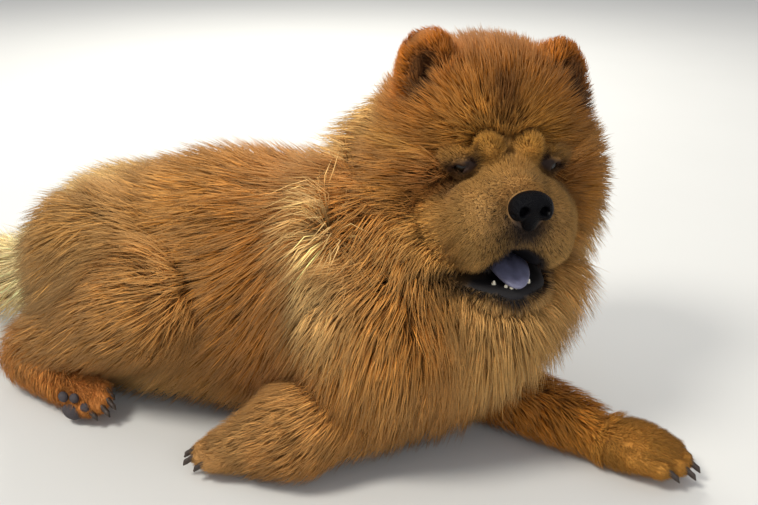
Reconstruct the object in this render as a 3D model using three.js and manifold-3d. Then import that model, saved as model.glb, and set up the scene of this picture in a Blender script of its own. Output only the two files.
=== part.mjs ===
// An adult red chow chow lying on its chest, head turned to its right, as a still life-size model.
// Millimetres, +Z up, +X towards the chest, +Y to the dog's left; the floor is z = 0.
// The body is one smooth form, blended from named rounded volumes out to the tips of the coat,
// polygonised by surface nets, and parted into its natural pieces by thin cuts.
import * as THREE from "three";
import { mergeVertices } from "three/addons/utils/BufferGeometryUtils.js";
import Module from "manifold-3d";

// ---- driving dimensions (mm) -------------------------------------------------------------
const CUT = 0.9; // width of the thin cuts between pieces
const FLOOR = 0; // level of the flats the dog rests on
const TRUNK_CELL = 40, HEAD_CELL = 23, LEG_CELL = 25, SMALL_CELL = 10; // facet sizes
const HEAD = { at: [197, 75, 334], yaw: -51, pitch: 1, roll: -2 }; // eye-level centre of the head, degrees
const EYE = { r: 11.5, x: 63, y: 44, z: -4 }; // eyeball, in the head's frame
const SHIFT = [76.1012, -29.3449, 0]; // from the form's frame to the centre of the bounding box's base

// ---- the forms ---------------------------------------------------------------------------
// [name, kind, frame, numbers..., blend, coat]: frame B is the body, H the head (x along the muzzle).
// E: an ellipsoid, centre, radii, yaw, pitch. C: a rounded cone, point, radius, point, radius.
const FORMS = [
  ["chest", "E", "B", 100, 0, 158, 182, 132, 170, 0, -4, 1, 46],
  ["barrel", "E", "B", -60, 0, 152, 200, 138, 166, 0, 0, 60, 45],
  ["rump", "E", "B", -222, 10, 112, 180, 146, 158, 0, 9, 60, 45],
  ["mane", "E", "H", -62, 0, -82, 112, 178, 182, 0, -6, 40, 60],
  ["ruff", "C", "B", 150, 10, 220, 105, 232, 12, 176, 104, 40, 56],
  ["ruff_l", "C", "B", 212, 96, 252, 90, 240, 86, 186, 94, 30, 56],
  ["collar_r1", "C", "B", 48, -28, 294, 44, 92, -84, 256, 54, 24, 50],
  ["collar_r2", "C", "B", 92, -84, 256, 54, 122, -98, 196, 56, 24, 50],
  ["collar_r3", "C", "B", 122, -98, 196, 56, 168, -78, 142, 56, 24, 50],
  ["collar_l1", "C", "B", 48, 28, 294, 44, 84, 92, 256, 54, 24, 50],
  ["collar_l2", "C", "B", 84, 92, 256, 54, 110, 108, 190, 56, 24, 50],
  ["collar_l3", "C", "B", 110, 108, 190, 56, 160, 90, 136, 56, 24, 50],
  ["skull", "E", "H", -12, 0, 30, 98, 114, 82, 0, 0, 30, 26],
  ["cheek_l", "E", "H", -4, 72, -48, 84, 66, 88, 0, 0, 30, 35],
  ["cheek_r", "E", "H", -4, -72, -48, 84, 66, 88, 0, 0, 30, 35],
  ["brow_l", "E", "H", 74, 22, 17, 20, 17, 15, 0, 0, 4, 4],
  ["brow_r", "E", "H", 74, -22, 17, 20, 17, 15, 0, 0, 4, 4],
  ["bridge", "C", "H", 55, 0, -18, 36, 128, 0, -30, 27, 16, 8],
  ["flew_l", "E", "H", 86, 30, -60, 56, 41, 49, 0, 0, 14, 8],
  ["flew_r", "E", "H", 86, -30, -60, 56, 41, 49, 0, 0, 14, 8],
  ["jowl_l", "E", "H", 54, 50, -70, 46, 32, 42, 0, 0, 14, 10],
  ["jowl_r", "E", "H", 54, -50, -70, 46, 32, 42, 0, 0, 14, 10],
  ["lip", "E", "H", 118, 0, -46, 34, 32, 26, 0, 0, 10, 8],
  ["shoulder_l", "C", "B", 150, 70, 170, 85, 112, 95, 68, 60, 40, 35],
  ["shoulder_r", "C", "B", 150, -70, 170, 85, 118, -82, 78, 60, 40, 35],
  ["forearm_l", "C", "B", 150, 82, 46, 46, 326, 54, 33, 35, 22, 16],
  ["forepaw_l", "E", "B", 388, 48, 26, 57, 39, 32, -6, -5, 16, 8],
  ["forearm_r", "C", "B", 122, -70, 74, 52, 78, -136, 58, 50, 22, 18],
  ["forepaw_r", "C", "B", 74, -140, 50, 46, 16, -162, 30, 34, 18, 12],
  ["thigh_r", "E", "B", -192, -84, 164, 136, 80, 108, 6, 24, 40, 45],
  ["shank_r", "C", "B", -112, -116, 158, 68, -312, -116, 54, 44, 30, 30],
  ["hindfoot_r", "C", "B", -315, -124, 40, 34, -205, -150, 28, 26, 16, 12],
  ["thigh_l", "E", "B", -190, 100, 88, 140, 72, 84, -6, 0, 40, 40],
  ["shank_l", "C", "B", -80, 120, 52, 50, -260, 128, 42, 38, 26, 24],
  ["hindfoot_l", "C", "B", -262, 136, 36, 33, -150, 176, 28, 27, 16, 12],
  ["tail_a", "C", "B", -362, 0, 118, 62, -470, -2, 72, 60, 40, 45],
  ["tail_b", "C", "B", -470, -2, 72, 60, -585, 20, 46, 42, 30, 45],
];
// Toes: [paw, base point, tip point, radius], fanned across each paw.
const PAWS = [
  { name: "forepaw_l", from: [398, 47, 27], along: [1, -0.06, -0.12], across: [0.06, 1, 0], spread: 16, reach: 57.79, r: 14.5 },
  { name: "forepaw_r", from: [22, -158, 30], along: [-0.8, -0.5, -0.12], across: [0.45, -0.75, -0.2], spread: 13, reach: 58, r: 13.5 },
  { name: "hindfoot_r", from: [-214, -148, 30], along: [0.98, -0.12, -0.06], across: [0.1, 0.75, 0.4], spread: 12, reach: 50, r: 13 },
  { name: "hindfoot_l", from: [-158, 174, 28], along: [0.95, 0.3, -0.08], across: [-0.3, 0.95, 0], spread: 12.5, reach: 52, r: 13 },
];
const TOES = 4;
for (const p of PAWS)
  for (let i = 0; i < TOES; i++) {
    const o = (i - 1.5) * p.spread, far = p.reach * (i === 0 || i === TOES - 1 ? 0.78 : 1);
    const at = (d) => p.from.map((c, k) => c + p.across[k] * o + p.along[k] * d);
    const a = at(0), b = at(far - p.r);
    FORMS.push([`${p.name}_toe${i + 1}`, "C", "B", ...a, p.r, b[0], b[1], Math.max(b[2], p.r * 0.86), p.r * 0.92, 9, 5]);
  }

// Parts that are not blended into the flesh, in the head's frame.
const MOUTH = ["mouth", "E", "H", 122, 0, -98, 64, 33, 33, 0, 0, 1, 0];
const JAW = [["jaw", "E", "H", 50, 0, -124, 76, 66, 24, 0, 2, 1, 7], ["chin", "E", "H", 95, 0, -125, 40, 44, 18, 0, 0, 12, 4]];
const TONGUE = [["tongue", "E", "H", 92, -3, -103, 44, 24, 7.5, 0, 0, 1, 0]];
const NOSE = [["pad", "E", "H", 150, 0, -18, 15, 22, 15, 0, 0, 1, 0], ["wing_l", "E", "H", 148, 13, -22, 12, 10, 11, 0, 0, 6, 0],
  ["wing_r", "E", "H", 148, -13, -22, 12, 10, 11, 0, 0, 6, 0], ["septum", "E", "H", 146, 0, -33, 11, 8, 12, 0, 0, 6, 0]];
const EAR = { left: ["ear_l", "E", "H", 6, 72, 70, 24, 29, 40, 24, -12, 1, 5], right: ["ear_r", "E", "H", 6, -72, 80, 24, 31, 41, -24, -12, 1, 5] };

// ---- distance functions ------------------------------------------------------------------
const rad = Math.PI / 180;
const turn = (a, b, t) => [a * Math.cos(t) - b * Math.sin(t), a * Math.sin(t) + b * Math.cos(t)];
function toHead(p) {
  let [x, y, z] = p.map((c, i) => c - HEAD.at[i]);
  [x, y] = turn(x, y, -HEAD.yaw * rad);
  [x, z] = turn(x, z, HEAD.pitch * rad);
  [y, z] = turn(y, z, -HEAD.roll * rad);
  return [x, y, z];
}
const HEAD_MATRIX = new THREE.Matrix4().makeTranslation(...HEAD.at)
  .multiply(new THREE.Matrix4().makeRotationZ(HEAD.yaw * rad))
  .multiply(new THREE.Matrix4().makeRotationY(HEAD.pitch * rad))
  .multiply(new THREE.Matrix4().makeRotationX(HEAD.roll * rad));
function ellipsoid(q, v) {
  let x = q[0] - v[0], y = q[1] - v[1], z = q[2] - v[2];
  [x, y] = turn(x, y, -v[6] * rad);
  [x, z] = turn(x, z, v[7] * rad);
  const k0 = Math.hypot(x / v[3], y / v[4], z / v[5]), k1 = Math.hypot(x / v[3] ** 2, y / v[4] ** 2, z / v[5] ** 2);
  return k1 < 1e-9 ? -Math.min(v[3], v[4], v[5]) : (k0 * (k0 - 1)) / k1;
}
function cone(q, v) {
  const a = v.slice(0, 3), ra = v[3], b = v.slice(4, 7), rb = v[7];
  const ba = b.map((c, i) => c - a[i]), pa = q.map((c, i) => c - a[i]);
  const l2 = ba[0] ** 2 + ba[1] ** 2 + ba[2] ** 2, rr = ra - rb, a2 = l2 - rr * rr, il2 = 1 / l2;
  const y = pa[0] * ba[0] + pa[1] * ba[1] + pa[2] * ba[2], z = y - l2;
  const x2 = (pa[0] * l2 - ba[0] * y) ** 2 + (pa[1] * l2 - ba[1] * y) ** 2 + (pa[2] * l2 - ba[2] * y) ** 2;
  const y2 = y * y * l2, z2 = z * z * l2, k = Math.sign(rr) * rr * rr * x2;
  if (Math.sign(z) * a2 * z2 > k) return Math.sqrt(x2 + z2) * il2 - rb;
  if (Math.sign(y) * a2 * y2 < k) return Math.sqrt(x2 + y2) * il2 - ra;
  return (Math.sqrt(x2 * a2 * il2) + y * rr) * il2 - ra;
}
function blend(list, grow = 0) {
  return (p) => {
    const h = toHead(p);
    let d = Infinity;
    for (const f of list) {
      const e = (f[1] === "E" ? ellipsoid : cone)(f[2] === "H" ? h : p, f.slice(3));
      const k = f[f.length - 2];
      if (d === Infinity) d = e;
      else {
        const m = Math.max(k - Math.abs(d - e), 0) / k;
        d = Math.min(d, e) - m * m * k * 0.25;
      }
    }
    return d - grow;
  };
}
const flesh = blend(FORMS);

// ---- surface nets ------------------------------------------------------------------------
// Closed mesh of field < 0 inside a box, with its vertices drawn onto the surface.
function nets(field, low, high, cell) {
  const n = low.map((c, i) => Math.ceil((high[i] - c) / cell) + 3);
  const at = (i, k) => low[k] + (i - 1) * cell;
  const val = new Float32Array(n[0] * n[1] * n[2]);
  const id = (i, j, k) => (k * n[1] + j) * n[0] + i;
  for (let k = 0; k < n[2]; k++) for (let j = 0; j < n[1]; j++) for (let i = 0; i < n[0]; i++) {
    const edge = i === 0 || j === 0 || k === 0 || i === n[0] - 1 || j === n[1] - 1 || k === n[2] - 1;
    val[id(i, j, k)] = edge ? cell : field([at(i, 0), at(j, 1), at(k, 2)]) || 1e-4;
  }
  const vert = new Int32Array(val.length).fill(-1), pos = [], tris = [];
  for (let k = 0; k < n[2] - 1; k++) for (let j = 0; j < n[1] - 1; j++) for (let i = 0; i < n[0] - 1; i++) {
    const c = [];
    for (let q = 0; q < 8; q++) c.push(val[id(i + (q & 1), j + ((q >> 1) & 1), k + (q >> 2))]);
    const inside = c.filter((v) => v < 0).length;
    if (inside === 0 || inside === 8) continue;
    let m = 0;
    const s = [0, 0, 0];
    for (let q = 0; q < 8; q++) for (let b = 0; b < 3; b++) {
      const r = q | (1 << b);
      if (r === q || c[q] < 0 === c[r] < 0) continue;
      const t = c[q] / (c[q] - c[r]);
      const e = [q & 1, (q >> 1) & 1, q >> 2];
      e[b] += t;
      s[0] += e[0]; s[1] += e[1]; s[2] += e[2]; m++;
    }
    let p = [at(i, 0) + (s[0] / m) * cell, at(j, 1) + (s[1] / m) * cell, at(k, 2) + (s[2] / m) * cell];
    const rim = i === 0 || j === 0 || k === 0 || i === n[0] - 2 || j === n[1] - 2 || k === n[2] - 2;
    if (!rim) for (let step = 0; step < 2; step++) {
      const d = field(p), g = [0, 1, 2].map((a) => { const u = [...p]; u[a] += 0.5; return (field(u) - d) / 0.5; });
      const g2 = Math.max(g[0] ** 2 + g[1] ** 2 + g[2] ** 2, 0.3), move = Math.max(-cell * 0.3, Math.min(cell * 0.3, d));
      p = p.map((v, a) => v - (g[a] * move) / g2);
    }
    vert[id(i, j, k)] = pos.length / 3;
    pos.push(...p);
  }
  for (let k = 0; k < n[2] - 1; k++) for (let j = 0; j < n[1] - 1; j++) for (let i = 0; i < n[0] - 1; i++)
    for (let a = 0; a < 3; a++) {
      const o = [i, j, k], e = [...o];
      if (o[(a + 1) % 3] < 1 || o[(a + 2) % 3] < 1) continue;
      e[a]++;
      const v0 = val[id(...o)], v1 = val[id(...e)];
      if (v0 < 0 === v1 < 0) continue;
      const b = (a + 1) % 3, c = (a + 2) % 3;
      const q = [[0, 0], [-1, 0], [-1, -1], [0, -1]].map(([x, y]) => { const w = [...o]; w[b] += x; w[c] += y; return vert[id(...w)]; });
      if (v0 < 0) tris.push(q[0], q[1], q[2], q[0], q[2], q[3]);
      else tris.push(q[0], q[2], q[1], q[0], q[3], q[2]);
    }
  const g = new THREE.BufferGeometry();
  g.setAttribute("position", new THREE.BufferAttribute(new Float32Array(pos), 3));
  g.setIndex(tris);
  return g;
}

// ---- solids ------------------------------------------------------------------------------
const wasm = await Module();
wasm.setup();
function solid(geometry) {
  const g = geometry.clone();
  for (const name of ["normal", "uv"]) g.deleteAttribute(name);
  const m = mergeVertices(g, 1e-3);
  return new wasm.Manifold(new wasm.Mesh({ numProp: 3, vertProperties: m.attributes.position.array, triVerts: new Uint32Array(m.index.array) }));
}
function geometryOf(s) {
  const m = s.getMesh(), v = new Float32Array(m.numVert * 3);
  for (let i = 0; i < m.numVert; i++) v.set(m.vertProperties.subarray(i * m.numProp, i * m.numProp + 3), i * 3);
  const g = new THREE.BufferGeometry();
  g.setAttribute("position", new THREE.BufferAttribute(v, 3));
  g.setIndex(new THREE.BufferAttribute(m.triVerts, 1));
  return g;
}
// The largest piece only: a cut can leave crumbs beside it.
const whole = (s) => s.decompose().sort((a, b) => b.volume() - a.volume())[0];
const facets = (geometry, by) => solid(geometry).simplify(by); // fewer facets on the broad smooth parts
function box(low, high, matrix) {
  const size = high.map((c, i) => c - low[i]);
  const g = new THREE.BoxGeometry(...size).translate(...low.map((c, i) => c + size[i] / 2));
  return solid(matrix ? g.applyMatrix4(matrix) : g);
}
function egg(centre, radii, matrix, across = 13, down = 7) {
  const g = new THREE.SphereGeometry(1, across, down).scale(...radii).rotateX(Math.PI / 2).translate(...centre);
  return solid(matrix ? g.applyMatrix4(matrix) : g);
}
// A cutter is made twice: as the piece takes it, and grown by the cut for what is left.
const boxCut = (low, high, matrix) => [box(low, high, matrix), box(low.map((c) => c - CUT), high.map((c) => c + CUT), matrix)];
const eggCut = (centre, radii, matrix) => [egg(centre, radii, matrix), egg(centre, radii.map((c) => c + 2 * CUT), matrix)];

const bed = box([-900, -600, FLOOR], [700, 600, 900]); // everything stands on the floor
const zones = {
  trunk: facets(nets(flesh, [-680, -230, -30], [460, 230, 520], TRUNK_CELL), 2.6).intersect(bed),
  head: facets(nets(flesh, [60, -170, 120], [370, 250, 500], HEAD_CELL), 1.8).intersect(bed),
  fore: facets(nets(flesh, [-93, -233, -23], [480, 190, 240], LEG_CELL), 1.8).intersect(bed),
  hind: facets(nets(flesh, [-410, -235, -20], [-20, 235, 310], LEG_CELL), 1.8).intersect(bed),
};

const frame = (at, yaw, pitch) => new THREE.Matrix4().makeTranslation(...at)
  .multiply(new THREE.Matrix4().makeRotationZ(yaw * rad)).multiply(new THREE.Matrix4().makeRotationY(pitch * rad));
// Pieces of the flesh, in the order they are cut. [name, zone, cutter]
const pieces = [
  ["muzzle", "head", boxCut([64, -90, -116], [230, 90, 13], HEAD_MATRIX)],
  ["head", "head", eggCut([8, 0, -8], [118, 124, 146], HEAD_MATRIX)],
  ["forepaw_left", "fore", boxCut([0, -70, -60], [260, 70, 120], frame([346, 52, 0], -6, 0))],
  ["forearm_left", "fore", boxCut([0, -75, -60], [260, 75, 150], frame([208, 72, 0], -9, -24))],
  ["forepaw_right", "fore", boxCut([0, -52, -90], [170, 78, 70], frame([62, -140, 30], 202, 4))],
  ["forearm_right", "fore", boxCut([0, -80, -100], [150, 80, 75], frame([108, -104, 60], -118, 10))],
  ["hindfoot_right", "hind", boxCut([0, -70, -80], [240, 70, 45], frame([-296, -124, 40], -13, 4))],
  ["shank_right", "hind", boxCut([-120, -60, -90], [260, 120, 0], frame([-330, -158, 96], 0, -26))],
  ["thigh_right", "hind", boxCut([-400, -260, 0], [-40, -92, 330])],
  ["hindfoot_left", "hind", boxCut([0, -50, -60], [200, 80, 62], frame([-246, 142, 20], 19, 0))],
  ["shank_left", "hind", boxCut([-330, 104, -20], [-20, 260, 62])],
  ["thigh_left", "hind", boxCut([-400, 96, 60], [-40, 260, 330])],
  ["neck", "trunk", boxCut([-420, -330, 0], [420, 330, 500], frame([118, 0, 222], 0, 38))],
  ["tail", "trunk", boxCut([-700, -160, -50], [-372, 160, 200])],
  ["hindquarters", "trunk", boxCut([-400, -260, -10], [-150, 260, 400])],
  ["loin", "trunk", boxCut([-149, -260, -10], [15, 260, 400])],
  ["chest", "trunk", boxCut([16, -260, -10], [460, 260, 460])],
];

// Small parts first: they sit in sockets of the flesh.
const local = (g) => solid(g.applyMatrix4(HEAD_MATRIX));
const made = new Map();
const sockets = []; // what the flesh leaves free
for (const [side, s] of [["left", 1], ["right", -1]]) {
  const c = [EYE.x, s * EYE.y, EYE.z];
  made.set(`eye_${side}`, local(new THREE.SphereGeometry(EYE.r, 10, 6).rotateX(Math.PI / 2).translate(...c)));
  sockets.push(local(new THREE.SphereGeometry(EYE.r + 1.6, 10, 6).rotateX(Math.PI / 2).translate(...c)));
  // the slit between the lids, out through the coat
  sockets.push(local(new THREE.SphereGeometry(1, 8, 5).scale(34, 13, 5).rotateX(s * -14 * rad).translate(c[0] + 22, c[1], c[2])));
}
const fieldSolid = (list, grow, low, high, cell) => facets(nets(blend(list, grow), low, high, cell), 0.5);
const HB = [[170, -160, 150], [360, 160, 380]];
const nose = fieldSolid(NOSE, 0, ...HB, 9), noseRoom = fieldSolid(NOSE, 3.6, ...HB, 12);
const tongue = fieldSolid(TONGUE, 0, ...HB, SMALL_CELL), tongueRoom = fieldSolid(TONGUE, 3.4, ...HB, 9);
const jaw = fieldSolid(JAW, 0, ...HB, 20);
const mouth = facets(nets(blend([MOUTH]), ...HB, 22), 1.5);
const jawRoom = fieldSolid(JAW, 7.5, ...HB, 18);
// nostrils
let nosePiece = nose;
for (const s of [1, -1]) nosePiece = nosePiece.subtract(local(new THREE.SphereGeometry(1, 10, 8).scale(9, 3.6, 4.6).translate(164, s * 11, -20)));
made.set("nose", whole(nosePiece).simplify(0.7));
made.set("tongue", whole(tongue));
made.set("lower_jaw", whole(jaw.subtract(tongueRoom)).simplify(0.8));
sockets.push(noseRoom, mouth, jawRoom);

// Claws: one to a toe, out of the front of each toe.
for (const p of PAWS) for (let i = 0; i < TOES; i++) {
  const f = FORMS.find((x) => x[0] === `${p.name}_toe${i + 1}`);
  const b = new THREE.Vector3(f[7], f[8], f[9]), r = f[10];
  const dir = new THREE.Vector3(...p.along).setZ(-0.25).normalize();
  const put = (g) => solid(g.applyMatrix4(new THREE.Matrix4().compose(
    b.clone().addScaledVector(dir, r + 3).setZ(Math.max(b.z - 2, 9)), new THREE.Quaternion().setFromUnitVectors(new THREE.Vector3(0, 1, 0), dir), new THREE.Vector3(1, 1, 1))));
  const [where, side] = p.name.split("_");
  made.set(`claw_${where.replace("paw", "").replace("foot", "")}_${{ l: "left", r: "right" }[side]}_${i + 1}`, put(new THREE.ConeGeometry(4, 17, 6)));
  sockets.push(put(new THREE.ConeGeometry(5, 20, 6)));
}
const room = sockets.reduce((a, b) => a.add(b)).simplify(0.5);

// Ears: a rounded hood that opens forwards and down.
for (const [side, s] of [["left", 1], ["right", -1]]) {
  const e = EAR[side];
  const cup = local(new THREE.SphereGeometry(1, 9, 6).scale(24, 18, 30).rotateZ(e[9] * rad).translate(e[3] + 24, e[4] + s * 6, e[5] - 7));
  made.set(`ear_${side}`, fieldSolid([e], 0, [60, -170, 250], [360, 260, 520], 12).subtract(cup));
}
const grown = fieldSolid(FORMS.filter((f) => f[2] === "H"), 1.5, [40, -160, 150], [400, 300, 500], 20);
for (const side of ["left", "right"]) {
  const e = made.get(`ear_${side}`);
  made.set(`ear_${side}`, whole(e.subtract(grown).subtract(zones.head.add(zones.trunk).translate(0.5, 0, 0.8)).subtract(zones.head).subtract(zones.trunk)).simplify(0.45));
}

const result = new Map();
let taken = null;
for (const [name, zone, [cut, gap]] of pieces) {
  let s = zones[zone].intersect(cut);
  if (taken) s = s.subtract(taken);
  s = s.subtract(room);
  result.set(name, whole(s).simplify(0.45));
  taken = taken ? taken.add(gap) : gap;
}
// The jaw keeps clear of every piece of flesh.
for (const [name, s] of made) result.set(name, s);

// ---- the model ---------------------------------------------------------------------------
const PAINT = {
  flesh: [0xb4702c, 0.85], pale: [0xcf9a5c, 0.85], eye: [0x2a1a12, 0.15], nose: [0x16161c, 0.35],
  tongue: [0x4a4a66, 0.4], claw: [0x3a3230, 0.45], leg: [0xa8601f, 0.85],
};
const paintOf = (n) => n.startsWith("claw") ? "claw" : n.startsWith("eye") ? "eye" : n === "nose" ? "nose" : n === "tongue" ? "tongue"
  : /tail|neck/.test(n) ? "pale" : /fore|shank|hindfoot/.test(n) ? "leg" : "flesh";
const dog = new THREE.Group();
for (const [name, s] of result) {
  const [color, roughness] = PAINT[paintOf(name)];
  const mesh = new THREE.Mesh(geometryOf(s), new THREE.MeshStandardMaterial({ color, roughness, metalness: 0 }));
  mesh.name = name;
  dog.add(mesh);
}
dog.position.set(...SHIFT);
export default dog;
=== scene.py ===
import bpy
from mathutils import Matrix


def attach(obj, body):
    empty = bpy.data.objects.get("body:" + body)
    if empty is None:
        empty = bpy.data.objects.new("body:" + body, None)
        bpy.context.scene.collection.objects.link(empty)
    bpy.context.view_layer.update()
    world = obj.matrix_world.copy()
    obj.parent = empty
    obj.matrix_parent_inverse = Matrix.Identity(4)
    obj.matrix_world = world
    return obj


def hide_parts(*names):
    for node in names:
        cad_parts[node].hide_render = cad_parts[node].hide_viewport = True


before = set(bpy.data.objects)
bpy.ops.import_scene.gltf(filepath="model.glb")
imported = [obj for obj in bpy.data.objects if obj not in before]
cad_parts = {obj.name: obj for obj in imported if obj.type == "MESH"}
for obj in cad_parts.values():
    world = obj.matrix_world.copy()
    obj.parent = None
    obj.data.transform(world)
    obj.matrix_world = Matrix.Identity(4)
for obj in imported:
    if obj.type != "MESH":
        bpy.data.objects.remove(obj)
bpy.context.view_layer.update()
# An adult red chow chow lying on its chest, its head turned to its right: skin, coat, face, paws and studio.
import math
import bpy
import numpy as np
from mathutils import Vector, kdtree

RNG = np.random.default_rng(41)
SHIFT = np.array([76.1012, -29.3449, 0.0])  # mm, form frame to row frame
HEAD_AT, HEAD_YAW, HEAD_PITCH, HEAD_ROLL = np.array([197.0, 75.0, 334.0]), -51.0, 1.0, -2.0
CELL = 3.6  # mm, skin facet
TUFTS, BUDGET = 285000, 1480000  # roots tried; triangles of coat in all

# ---- forms: name, kind, frame, numbers..., blend, coat depth (mm) -------------------------
FORMS = [
  ["chest", "E", "B", 100, 0, 158, 182, 132, 170, 0, -4, 1, 46],
  ["barrel", "E", "B", -60, 0, 152, 200, 138, 166, 0, 0, 60, 45],
  ["rump", "E", "B", -222, 10, 112, 180, 146, 158, 0, 9, 60, 45],
  ["mane", "E", "H", -62, 0, -82, 112, 178, 182, 0, -6, 40, 60],
  ["ruff", "C", "B", 150, 10, 220, 105, 232, 12, 176, 104, 40, 56],
  ["ruff_l", "C", "B", 212, 96, 252, 90, 240, 86, 186, 94, 30, 56],
  ["collar_r1", "C", "B", 48, -28, 294, 44, 92, -84, 256, 54, 24, 50],
  ["collar_r2", "C", "B", 92, -84, 256, 54, 122, -98, 196, 56, 24, 50],
  ["collar_r3", "C", "B", 122, -98, 196, 56, 168, -78, 142, 56, 24, 50],
  ["collar_l1", "C", "B", 48, 28, 294, 44, 84, 92, 256, 54, 24, 50],
  ["collar_l2", "C", "B", 84, 92, 256, 54, 110, 108, 190, 56, 24, 50],
  ["collar_l3", "C", "B", 110, 108, 190, 56, 160, 90, 136, 56, 24, 50],
  ["skull", "E", "H", -12, 0, 30, 98, 114, 82, 0, 0, 30, 26],
  ["cheek_l", "E", "H", -4, 72, -48, 84, 66, 88, 0, 0, 30, 35],
  ["cheek_r", "E", "H", -4, -72, -48, 84, 66, 88, 0, 0, 30, 35],
  ["brow_l", "E", "H", 72, 22, 15, 21, 18, 17, 0, 0, 10, 6],
  ["brow_r", "E", "H", 72, -22, 15, 21, 18, 17, 0, 0, 10, 6],
  ["bridge", "C", "H", 55, 0, -18, 36, 128, 0, -30, 27, 16, 5],
  ["flew_l", "E", "H", 86, 30, -60, 56, 41, 49, 0, 0, 14, 5],
  ["flew_r", "E", "H", 86, -30, -60, 56, 41, 49, 0, 0, 14, 5],
  ["jowl_l", "E", "H", 54, 50, -70, 46, 32, 42, 0, 0, 14, 7],
  ["jowl_r", "E", "H", 54, -50, -70, 46, 32, 42, 0, 0, 14, 7],
  ["lip", "E", "H", 118, 0, -46, 34, 32, 26, 0, 0, 10, 5],
  ["shoulder_l", "C", "B", 150, 70, 170, 85, 112, 95, 68, 60, 40, 35],
  ["shoulder_r", "C", "B", 150, -70, 170, 85, 118, -82, 78, 60, 40, 35],
  ["forearm_l", "C", "B", 150, 82, 46, 46, 326, 54, 33, 35, 22, 16],
  ["forepaw_l", "E", "B", 388, 48, 26, 57, 39, 32, -6, -5, 16, 8],
  ["forearm_r", "C", "B", 122, -70, 74, 52, 78, -136, 58, 50, 22, 18],
  ["forepaw_r", "C", "B", 74, -140, 50, 46, 16, -162, 30, 34, 18, 12],
  ["thigh_r", "E", "B", -192, -84, 164, 136, 80, 108, 6, 24, 40, 45],
  ["shank_r", "C", "B", -112, -116, 158, 68, -312, -116, 54, 44, 30, 30],
  ["hindfoot_r", "C", "B", -315, -124, 40, 34, -205, -150, 28, 26, 16, 12],
  ["thigh_l", "E", "B", -190, 100, 88, 140, 72, 84, -6, 0, 40, 40],
  ["shank_l", "C", "B", -80, 120, 52, 50, -260, 128, 42, 38, 26, 24],
  ["hindfoot_l", "C", "B", -262, 136, 36, 33, -150, 176, 28, 27, 16, 12],
  ["tail_a", "C", "B", -362, 0, 118, 62, -470, -2, 72, 60, 40, 45],
  ["tail_b", "C", "B", -470, -2, 72, 60, -585, 20, 46, 42, 30, 45],
]
PAWS = [
  dict(name="forepaw_l", at=(398, 47, 27), along=(1, -0.06, -0.12), across=(0.06, 1, 0), spread=16, reach=57.79, r=14.5),
  dict(name="forepaw_r", at=(22, -158, 30), along=(-0.8, -0.5, -0.12), across=(0.45, -0.75, -0.2), spread=13, reach=58, r=13.5),
  dict(name="hindfoot_r", at=(-214, -148, 30), along=(0.98, -0.12, -0.06), across=(0.1, 0.75, 0.4), spread=12, reach=50, r=13),
  dict(name="hindfoot_l", at=(-158, 174, 28), along=(0.95, 0.3, -0.08), across=(-0.3, 0.95, 0), spread=12.5, reach=52, r=13),
]
for w in PAWS:
    w["tips"] = []
    for i in range(4):
        o = (i - 1.5) * w["spread"]
        far = w["reach"] * (0.78 if i in (0, 3) else 1)
        at = lambda d: [w["at"][k] + w["across"][k] * o + w["along"][k] * d for k in range(3)]
        a, b = at(0), at(far - w["r"])
        b[2] = max(b[2], w["r"] * 0.86)
        FORMS.append([f"{w['name']}_toe{i + 1}", "C", "B", *a, w["r"], *b, w["r"] * 0.92, 4, 3.5])
        w["tips"].append(b)
JAW = [["jaw", "E", "H", 50, -5, -124, 76, 62, 24, 0, 2, 12, 7], ["chin", "E", "H", 95, 0, -125, 40, 44, 18, 0, 0, 12, 4]]
EARS = [["ear_l", "E", "H", 6, 72, 70, 24, 29, 40, 24, -12, 12, 5], ["ear_r", "E", "H", 6, -72, 80, 24, 31, 41, -24, -12, 12, 5]]

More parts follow.
